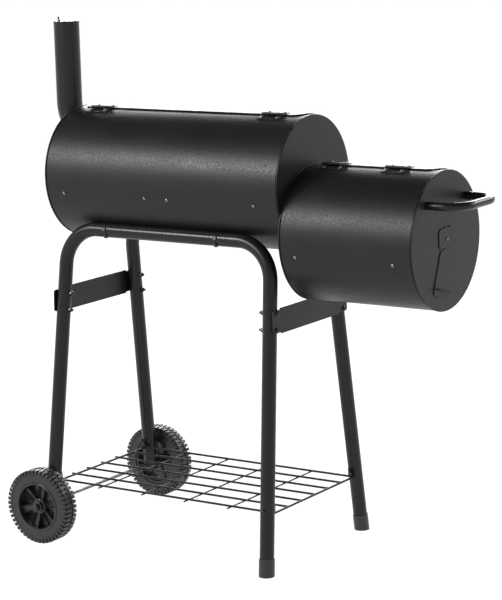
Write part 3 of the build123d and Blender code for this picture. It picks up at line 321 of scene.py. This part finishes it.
def pick(piece, faces=None, edges=None):
    """Enters edit mode with only the faces or edges that pass a test selected."""
    bpy.ops.object.mode_set(mode="EDIT")
    bpy.ops.mesh.select_all(action="DESELECT")
    bpy.ops.object.mode_set(mode="OBJECT")
    mesh = piece.data
    for item in (mesh.polygons if faces else []):
        item.select = bool(faces(item))
    for item in (mesh.edges if edges else []):
        ends = [mesh.vertices[index].co for index in item.vertices]
        item.select = bool(edges(*ends))
    bpy.ops.object.mode_set(mode="EDIT")
    bpy.ops.mesh.select_mode(type="FACE" if faces else "EDGE")


def close_edit(smooth=None):
    bpy.ops.mesh.select_all(action="SELECT")
    bpy.ops.mesh.normals_make_consistent(inside=False)
    bpy.ops.object.mode_set(mode="OBJECT")
    if smooth:
        bpy.ops.object.shade_smooth_by_angle(angle=math.radians(smooth))


def named(name, material):
    piece = bpy.context.object
    piece.name = piece.data.name = name
    piece.data.materials.append(material)
    return piece


def joined(name, parts):
    """Joins pieces into one."""
    deselect()
    for part in parts:
        part.select_set(True)
    bpy.context.view_layer.objects.active = parts[0]
    bpy.ops.object.join()
    parts[0].name = parts[0].data.name = name
    return parts[0]


def settle(piece, matrix):
    """Moves a piece's mesh, so that its object stays at the origin."""
    piece.data.transform(matrix @ piece.matrix_world)
    piece.matrix_world = Matrix.Identity(4)
    return piece


def copy_of(piece, matrix, name=None):
    """A copy with its own mesh, moved by a matrix."""
    twin = piece.copy()
    twin.data = piece.data.copy()
    bpy.context.scene.collection.objects.link(twin)
    twin.data.transform(matrix)
    if name:
        twin.name = twin.data.name = name
    return twin


def turned(step, count):
    """A turn about the upright axis by so many steps of a circle's count."""
    return Matrix.Rotation(2 * math.pi * step / count, 4, "Z")


def level(a, b):
    """True for an edge that lies level, so it runs round the axis."""
    return abs(a.z - b.z) < 1e-6


def open_ring(outer, inner, depth, bevel, name, material, sides=96):
    """A ring cut from a solid disc: its rims are bevelled, its faces inset, and the middle bridged open."""
    deselect()
    bpy.ops.mesh.primitive_cylinder_add(vertices=sides, radius=outer, depth=depth)
    piece = named(name, material)
    pick(piece, edges=level)
    bpy.ops.mesh.bevel(offset=bevel, segments=3, affect="EDGES")
    bpy.ops.object.mode_set(mode="OBJECT")
    pick(piece, faces=lambda face: len(face.vertices) == sides)
    bpy.ops.mesh.inset(thickness=outer - bevel - inner)
    bpy.ops.mesh.delete(type="ONLY_FACE")
    bpy.ops.object.mode_set(mode="OBJECT")
    near = inner * 1.02
    pick(piece, edges=lambda a, b: level(a, b) and a.xy.length < near and b.xy.length < near)
    bpy.ops.mesh.bridge_edge_loops()
    close_edit(RING_SMOOTH)
    return piece


def lathed_ring(outline, name, material, sides=96):
    """A ring drawn round the axis: a circle is extruded and resized to each radius and height in turn."""
    deselect()
    radius, height = outline[0]
    bpy.ops.mesh.primitive_circle_add(vertices=sides, radius=radius, location=(0, 0, height))
    piece = named(name, material)
    settle(piece, Matrix.Identity(4))
    bpy.ops.object.mode_set(mode="EDIT")
    bpy.ops.mesh.select_mode(type="EDGE")
    bpy.ops.mesh.select_all(action="SELECT")
    for wider, higher in outline[1:]:
        bpy.ops.mesh.extrude_region_move(TRANSFORM_OT_translate={"value": (0, 0, higher - height)})
        bpy.ops.transform.resize(value=(wider / radius, wider / radius, 1), center_override=(0, 0, 0))
        radius, height = wider, higher
    bpy.ops.mesh.select_all(action="DESELECT")
    bpy.ops.mesh.select_non_manifold()
    bpy.ops.mesh.bridge_edge_loops()
    close_edit(RING_SMOOTH)
    return piece


# %% Tyre
tyre_low, tyre_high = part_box("tyre_back")
rim_low, rim_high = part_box("rim_back")
TYRE_R = (tyre_high.z - tyre_low.z) / 2
TYRE_WIDTH = tyre_high.y - tyre_low.y
RIM_R = (rim_high.z - rim_low.z) / 2
CARCASS_R = TYRE_R - 4.0 * MM
CARCASS_HALF = TYRE_WIDTH / 2 - 0.8 * MM
BORE_R = RIM_R + 0.3 * MM
SHOULDER = 9.5 * MM
SHOULDER_STEPS = 5
RIB_R = TYRE_R - 1.0 * MM
RIB_WIDTH = 3.2 * MM
LUGS = 48
LUG_WIDTH = 7.4 * MM
LUG_FOOT = 14.0 * MM          # from the tread inwards
LUG_START = 3.4 * MM          # from the tyre's middle plane
LUG_CORNER = 3.2 * MM
LUG_EDGE = 0.5 * MM

quarter = [math.radians(90 * step / SHOULDER_STEPS) for step in range(SHOULDER_STEPS + 1)]
shoulder = [(CARCASS_R - SHOULDER * (1 - math.cos(angle)), CARCASS_HALF - SHOULDER * (1 - math.sin(angle)))
            for angle in quarter]
outline = [(BORE_R, -CARCASS_HALF)] + [(radius, -height) for radius, height in reversed(shoulder)]
outline += shoulder + [(BORE_R, CARCASS_HALF)]
carcass = lathed_ring(outline, "carcass", tyre_plastic)
rib = open_ring(RIB_R, CARCASS_R - 2 * MM, RIB_WIDTH, 0.6 * MM, "centre_rib", tyre_plastic)


def lug():
    """One tread block: a box over the shoulder, its outer corner cut back and its edges eased."""
    top = TYRE_WIDTH / 2
    deselect()
    bpy.ops.mesh.primitive_cube_add(size=1, location=(TYRE_R - LUG_FOOT / 2, 0, (LUG_START + top) / 2),
                                    scale=(LUG_FOOT, LUG_WIDTH, top - LUG_START))
    piece = named("lug", tyre_plastic)
    settle(piece, Matrix.Identity(4))

    def corner(point):
        return point.x > TYRE_R - 0.1 * MM and point.z > top - 0.1 * MM

    pick(piece, edges=lambda a, b: corner(a) and corner(b))
    bpy.ops.mesh.bevel(offset=LUG_CORNER, segments=3, affect="EDGES")
    bpy.ops.mesh.select_all(action="SELECT")
    bpy.ops.mesh.bevel(offset=LUG_EDGE, segments=1, affect="EDGES")
    close_edit(BLOCK_SMOOTH)
    return piece


block = lug()
blocks = [copy_of(block, turned(step, LUGS)) for step in range(LUGS)]
mirrored = copy_of(block, Matrix.Scale(-1, 4, (0, 0, 1)))
mirrored.data.flip_normals()
blocks += [copy_of(mirrored, turned(step + 0.5, LUGS)) for step in range(LUGS)]
bpy.data.objects.remove(block)
bpy.data.objects.remove(mirrored)
tyre = joined("tyre", [carcass, rib] + blocks)
print("tyre:", len(tyre.data.polygons), "faces,", 2 * LUGS, "lugs")

# %% Rim
RING_DEPTH = 34 * MM
RING_WALL = 5.5 * MM
BEAD_WALL = 4.2 * MM
BEAD_DEPTH = 6.0 * MM
WEB_DEPTH = 2.5 * MM
HUB_R = 13 * MM
HUB_BORE_R = 4.2 * MM
HUB_LENGTH = rim_high.y - rim_low.y
HUB_SHIFT = (rim_low.y + rim_high.y - tyre_low.y - tyre_high.y) / 2
COLLAR_R = 17.5 * MM
COLLAR_DEPTH = 24 * MM
SPOKES = 6
SPOKE_START = 15 * MM         # from the axle's axis
SPOKE_END = RIM_R - 4.5 * MM
SPOKE_LOW = -4 * MM
SPOKE_HIGH = 12 * MM
SPOKE_WIDTH = 14 * MM
SPOKE_FLARE = 1.35            # wider at the ring
SPOKE_RISE = 3.5 * MM         # higher at the ring
SPOKE_RIB = 2.4 * MM
SPOKE_TROUGH = 9 * MM

ring = open_ring(RIM_R, RIM_R - RING_WALL, RING_DEPTH, 1.2 * MM, "ring", rim_plastic)
bead_r = RIM_R - 0.2 * MM
bead = open_ring(bead_r, bead_r - BEAD_WALL, BEAD_DEPTH, 1.8 * MM, "bead", rim_plastic)
settle(bead, Matrix.Translation((0, 0, RING_DEPTH / 2 + 1.0 * MM)))
web = open_ring(RIM_R - 5.0 * MM, 8 * MM, WEB_DEPTH, 0.4 * MM, "web", rim_plastic)
hub = open_ring(HUB_R, HUB_BORE_R, HUB_LENGTH, 1.4 * MM, "hub", rim_plastic, sides=48)
settle(hub, Matrix.Translation((0, 0, HUB_SHIFT)))
collar = open_ring(COLLAR_R, HUB_R - 1 * MM, COLLAR_DEPTH, 1.6 * MM, "collar", rim_plastic, sides=48)


def spoke():
    """A tapering channel from hub to ring: a block whose top is inset and pushed down between two ribs."""
    middle = ((SPOKE_START + SPOKE_END) / 2, 0, (SPOKE_LOW + SPOKE_HIGH) / 2)
    deselect()
    bpy.ops.mesh.primitive_cube_add(size=1, location=middle,
                                    scale=(SPOKE_END - SPOKE_START, SPOKE_WIDTH, SPOKE_HIGH - SPOKE_LOW))
    piece = named("spoke", rim_plastic)
    settle(piece, Matrix.Identity(4))
    for vertex in piece.data.vertices:
        if vertex.co.x > middle[0]:
            vertex.co.y *= SPOKE_FLARE
            if vertex.co.z > 0:
                vertex.co.z += SPOKE_RISE
    pick(piece, faces=lambda face: face.normal.z > 0.9)
    bpy.ops.mesh.inset(thickness=SPOKE_RIB)
    bpy.ops.transform.translate(value=(0, 0, -SPOKE_TROUGH))
    bpy.ops.mesh.select_all(action="SELECT")
    bpy.ops.mesh.bevel(offset=0.9 * MM, segments=3, affect="EDGES")
    close_edit(BLOCK_SMOOTH)
    return piece


arm = spoke()
arms = [copy_of(arm, turned(step + 0.25, SPOKES)) for step in range(SPOKES)]
bpy.data.objects.remove(arm)
rim = joined("rim", [ring, bead, web, hub, collar] + arms)
print("rim:", len(rim.data.polygons), "faces")

# %% Stand a wheel on each end of the axle
for side, outward in (("back", 1), ("front", -1)):
    low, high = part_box("tyre_" + side)
    centre = (low + high) / 2
    stand = Matrix.Translation(centre) @ Matrix.Rotation(-outward * math.pi / 2, 4, "X")
    for source, node in ((tyre, "tyre"), (rim, "rim")):
        piece = copy_of(source, stand, node + "_" + side + "_moulded")
        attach(piece, "wheel_" + side)
        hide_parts(node + "_" + side)
bpy.data.objects.remove(tyre)
bpy.data.objects.remove(rim)
print("the front wheel stands at", [round(value, 3) for value in centre])

# %% [markdown]
# **Screws and bolts.** All are pan heads with a cross recess. A screw is built once for each size that the
# frame holds: a disc is bevelled to a dome, the cross is cut with a boolean, and the shank is drawn down
# from the underside, its last part in steps that swell and shrink like a thread. The places are not typed
# in. Each CAD screw is looked at as a cloud of points: its axis is the one direction in which the cloud is
# not round, and the head is at the end where it is widest.

# %% Find the axis and the size of every CAD screw
WIDEST_SHARE = 0.98           # points this near the largest radius belong to the head
BELOW_SEAT = 0.5 * MM         # the shank is measured under this


def loose_parts(node):
    """The separate solids of a CAD node, as merged copies."""
    deselect()
    source = frame["nodes"][node]
    twin = source.copy()
    twin.data = source.data.copy()
    twin.parent = None
    bpy.context.scene.collection.objects.link(twin)
    twin.select_set(True)
    bpy.context.view_layer.objects.active = twin
    bpy.ops.object.mode_set(mode="EDIT")
    bpy.ops.mesh.select_all(action="SELECT")
    bpy.ops.mesh.remove_doubles(threshold=0.002 * MM)
    bpy.ops.mesh.separate(type="LOOSE")
    bpy.ops.object.mode_set(mode="OBJECT")
    return list(bpy.context.selected_objects)


def measured(part):
    """Where a CAD screw's head sits, which way it points, and its four sizes in millimetres."""
    points = numpy.array([vertex.co for vertex in part.data.vertices])
    centre = points.mean(axis=0)
    spreads, directions = numpy.linalg.eigh(numpy.cov((points - centre).T))
    odd = 2 if spreads[1] - spreads[0] < spreads[2] - spreads[1] else 0
    axis = directions[:, odd]
    along = (points - centre) @ axis
    around = numpy.linalg.norm(points - centre - numpy.outer(along, axis), axis=1)
    widest = along[around > WIDEST_SHARE * around.max()]
    if widest.mean() < (along.max() + along.min()) / 2:
        axis, along, widest = -axis, -along, -widest
    seat = widest.min()
    shank = around[along < seat - BELOW_SEAT].max()
    sizes = (around.max(), along.max() - seat, shank, seat - along.min())
    return Vector(centre + axis * seat), Vector(axis), tuple(round(size / MM, 2) for size in sizes)


# %% Model one screw of each size
THREAD_PITCH = 1.0
THREAD_ROOT = 0.86            # root radius over shank radius
THREAD_LONGEST = 9.0
THREAD_SHARE = 0.7            # of a short shank
DOME = 0.72                   # share of the head's height that is rounded
RECESS_ARM = 1.30             # of the head's radius
RECESS_WIDTH = 0.30
RECESS_DEPTH = 0.55           # of the head's height
SPIN_DEGREES = 37             # each screw stops at its own angle


def pan_head_screw(head_r, head_height, shank_r, length, finish):
    """A screw at the origin, head up, its seat on the ground plane; sizes in millimetres."""
    deselect()
    bpy.ops.mesh.primitive_cylinder_add(vertices=24, radius=head_r * MM, depth=head_height * MM,
                                        location=(0, 0, head_height * MM / 2))
    piece = named("screw", finish)
    settle(piece, Matrix.Identity(4))
    top = 0.99 * head_height * MM
    pick(piece, edges=lambda a, b: a.z > top and b.z > top)
    bpy.ops.mesh.bevel(offset=DOME * head_height * MM, segments=4, affect="EDGES")
    close_edit()
    for across, along in ((RECESS_WIDTH, RECESS_ARM), (RECESS_ARM, RECESS_WIDTH)):
        deselect()
        bpy.ops.mesh.primitive_cube_add(size=1, location=(0, 0, head_height * MM),
                                        scale=(across * head_r * MM, along * head_r * MM,
                                               2 * RECESS_DEPTH * head_height * MM))
        slot_tool = bpy.context.object
        cut = piece.modifiers.new("recess", "BOOLEAN")
        cut.object = slot_tool
        bpy.context.view_layer.objects.active = piece
        bpy.ops.object.modifier_apply(modifier="recess")
        bpy.data.objects.remove(slot_tool)
    deselect()
    piece.select_set(True)
    bpy.context.view_layer.objects.active = piece
    pick(piece, faces=lambda face: face.normal.z < -0.99)
    bpy.ops.mesh.inset(thickness=(head_r - shank_r) * MM)
    turns = int(min(THREAD_LONGEST, THREAD_SHARE * length) / THREAD_PITCH)
    steps = [(length - turns * THREAD_PITCH, 1.0)]
    steps += [(THREAD_PITCH / 2, THREAD_ROOT), (THREAD_PITCH / 2, 1 / THREAD_ROOT)] * turns
    for drop, scale in steps:
        bpy.ops.mesh.extrude_region_move(TRANSFORM_OT_translate={"value": (0, 0, -drop * MM)})
        bpy.ops.transform.resize(value=(scale, scale, 1), center_override=(0, 0, 0))
    close_edit(SCREW_SMOOTH)
    return piece


# %% Put a screw in every place
screw_models = {}
screw_count = 0
for node in DARK_SCREWS + PAINTED_GLINT_SCREWS:
    placed = []
    for part in loose_parts(node):
        seat, axis, sizes = measured(part)
        bpy.data.objects.remove(part)
        kind = sizes + (finish_of[node],)
        if kind not in screw_models:
            screw_models[kind] = pan_head_screw(*kind)
        turn = Matrix.Rotation(math.radians(SPIN_DEGREES * len(placed)), 4, "Z")
        stand = Matrix.Translation(seat) @ axis.to_track_quat("Z", "Y").to_matrix().to_4x4() @ turn
        placed.append(copy_of(screw_models[kind], stand))
    screw_count += len(placed)
    piece = joined(node + "_pan_head", placed)
    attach(piece, frame["nodes"][node]["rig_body"])
    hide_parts(node)
print(screw_count, "screws of", len(screw_models), "kinds")
for model in screw_models.values():
    bpy.data.objects.remove(model)

# %% [markdown]
# **The thermometer's dial** is a white plate with a ring of printed marks, every fifth one long. A mark is
# one thin slab with softened corners, copied round the dial's axis. It stands a hair above the plate, as
# ink does.

# %% Dial marks
dial_low, dial_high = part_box("thermometer_dial")
dial_middle = (dial_low + dial_high) / 2
shell_low, shell_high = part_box("main_shell")
barrel_axis = (shell_low + shell_high) / 2
dial_out = Vector((0, dial_middle.y - barrel_axis.y, dial_middle.z - barrel_axis.z)).normalized()
dial_radius = (dial_high.x - dial_low.x) / 2
DIAL_SHEET = 0.8 * MM
INK = 0.06 * MM
MARKS = 30
MARKS_START = 0.90            # of the dial's radius
LONG_MARK = (5.0 * MM, 0.9 * MM)
SHORT_MARK = (2.6 * MM, 0.5 * MM)
mark_paint = moulded_plastic("printed_black_dial_ink", "1a1a1a", "242424", 0.5, 0.5)


def dial_mark(length, width):
    """One printed mark at the rim of a dial whose axis is up."""
    deselect()
    bpy.ops.mesh.primitive_cube_add(size=1, location=(MARKS_START * dial_radius - length / 2, 0, INK / 2),
                                    scale=(length, width, INK))
    piece = named("mark", mark_paint)
    settle(piece, Matrix.Identity(4))
    pick(piece, edges=lambda a, b: abs(a.z - b.z) > 0.01 * MM)
    bpy.ops.mesh.bevel(offset=0.3 * width, segments=2, affect="EDGES")
    close_edit(RING_SMOOTH)
    return piece


dial_turn = dial_out.to_track_quat("Z", "X").to_matrix().to_4x4()
stand = Matrix.Translation(dial_middle + dial_out * (DIAL_SHEET / 2)) @ dial_turn
marks = []
for number in range(MARKS):
    sample = dial_mark(*(SHORT_MARK if number % 5 else LONG_MARK))
    marks.append(copy_of(sample, stand @ turned(number, MARKS)))
    bpy.data.objects.remove(sample)
dial_marks = joined("thermometer_dial_marks", marks)
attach(dial_marks, frame["nodes"]["thermometer_dial"]["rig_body"])
print(MARKS, "marks on a dial", round(2 * dial_radius / MM), "mm across")

# %% [markdown]
# **The studio.** Black satin shows mostly what it reflects, so the room is built for its reflections. The
# floor is a white table that glows by itself, and the sky is bright at the horizon and dim overhead. A wide
# soft light behind the smoker lays a long highlight along each drum, a weaker one does the same for the
# front, a large dim panel fills the far side, and a small one puts a glint on the screws.

# %% Floor and lights
FLOOR_SIZE = 160
FLOOR_GLOW = 0.97
SKY_HORIZON = 0.7
SKY_ZENITH = 0.12
DIM_FROM = 0.75               # heights are sines of the angle above the horizon
BAND_FULL, BAND_GONE = 0.045, 0.09
LAMPS = (
    # name, watts, width and height, place, the point it is aimed at
    ("back_strip", 125, (3.4, 1.1), (1.9, 2.9, 2.45), (0, 0, 0.8)),
    ("front_strip", 60, (3.4, 0.7), (-1.6, -2.9, 2.2), (0, 0, 0.8)),
    ("far_panel", 230, (5.0, 1.3), (2.3, -3.5, 2.1), (0, 0, 0.9)),
    ("spark", 30, (0.28, 0.28), (2.1, 2.8, 2.4), (0, 0, 0.8)),
)
deselect()
bpy.ops.mesh.primitive_plane_add(size=FLOOR_SIZE, location=(0, 0, 0))
floor = bpy.context.object
floor.name = "floor"
floor_paint, _, floor_shader, _ = new_material("glowing_white_table")
floor_shader.inputs["Base Color"].default_value = linear("5a5a5a")
floor_shader.inputs["Roughness"].default_value = 0.9
floor_shader.inputs["Specular IOR Level"].default_value = 0.1
floor_shader.inputs["Emission Color"].default_value = linear("ffffff")
floor_shader.inputs["Emission Strength"].default_value = FLOOR_GLOW
floor.data.materials.append(floor_paint)
floor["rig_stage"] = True

# The plain display curve keeps the white table white and the black steel deep.
bpy.context.scene.view_settings.view_transform = "Standard"

world = bpy.data.worlds.new("studio_sky")
bpy.context.scene.world = world
world.use_nodes = True
sky = world.node_tree
sky.nodes.clear()
direction = add(sky, "TexCoord").outputs["Generated"]
height = add(sky, "SeparateXYZ", {"Vector": direction}).outputs["Z"]
glow = spread(sky, height, 0.0, DIM_FROM, SKY_HORIZON, SKY_ZENITH)
# A bright band at the horizon is as white as the table, so the table has no visible edge.
band = spread(sky, height, BAND_FULL, BAND_GONE, 1.0 - SKY_HORIZON, 0.0)
strength = add(sky, "Math", {0: glow, 1: band}, operation="ADD").outputs[0]
background = add(sky, "Background", {"Color": linear("ffffff"), "Strength": strength})
add(sky, "OutputWorld", {"Surface": background.outputs[0]})


def soft_light(name, power, size, place, target):
    """A large area light aimed at a point."""
    light = bpy.data.lights.new(name, "AREA")
    light.energy = power
    light.shape = "RECTANGLE"
    light.size, light.size_y = size
    lamp = bpy.data.objects.new(name, light)
    bpy.context.scene.collection.objects.link(lamp)
    lamp.location = place
    lamp.rotation_euler = (Vector(place) - Vector(target)).to_track_quat("Z", "Y").to_euler()


for lamp in LAMPS:
    soft_light(*lamp)
print("studio ready, with", len(LAMPS), "lamps")

# %% [markdown]
# **The camera** looks from behind the smoker, over the firebox end, a little from above, with a long lens
# and a slight tilt to one side.

# %% Camera
AZIMUTH = math.radians(213.68)
ELEVATION = math.radians(10.72)
ROLL = math.radians(-1.575)
LENS_MM = 133.72
SENSOR_MM = 36
BEYOND_CHIMNEY_END = 3.1606   # metres from the chimney's end towards the firebox
BEHIND = 4.0645
ABOVE_GROUND = 1.4856

level_part = math.cos(ELEVATION)
backwards = Vector((math.sin(AZIMUTH) * level_part, -math.cos(AZIMUTH) * level_part, math.sin(ELEVATION)))
camera = bpy.data.objects.new("camera", bpy.data.cameras.new("camera"))
camera.data.lens = LENS_MM
camera.data.sensor_width = SENSOR_MM
chimney_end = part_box("chimney_end_cap")[1].x
camera.location = (chimney_end - BEYOND_CHIMNEY_END, BEHIND, ABOVE_GROUND)
camera.rotation_mode = "QUATERNION"
camera.rotation_quaternion = backwards.to_track_quat("Z", "Y") @ Quaternion((0, 0, 1), ROLL)
bpy.context.scene.collection.objects.link(camera)
bpy.context.scene.camera = camera
print("camera at", tuple(round(value, 3) for value in camera.location))

# %% Sizes, and finish
visual_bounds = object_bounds()
sizes = {"cad": [list(corner) for corner in cad_bounds],
         "visual": [list(corner) for corner in visual_bounds]}
print("visual box", sizes["visual"])
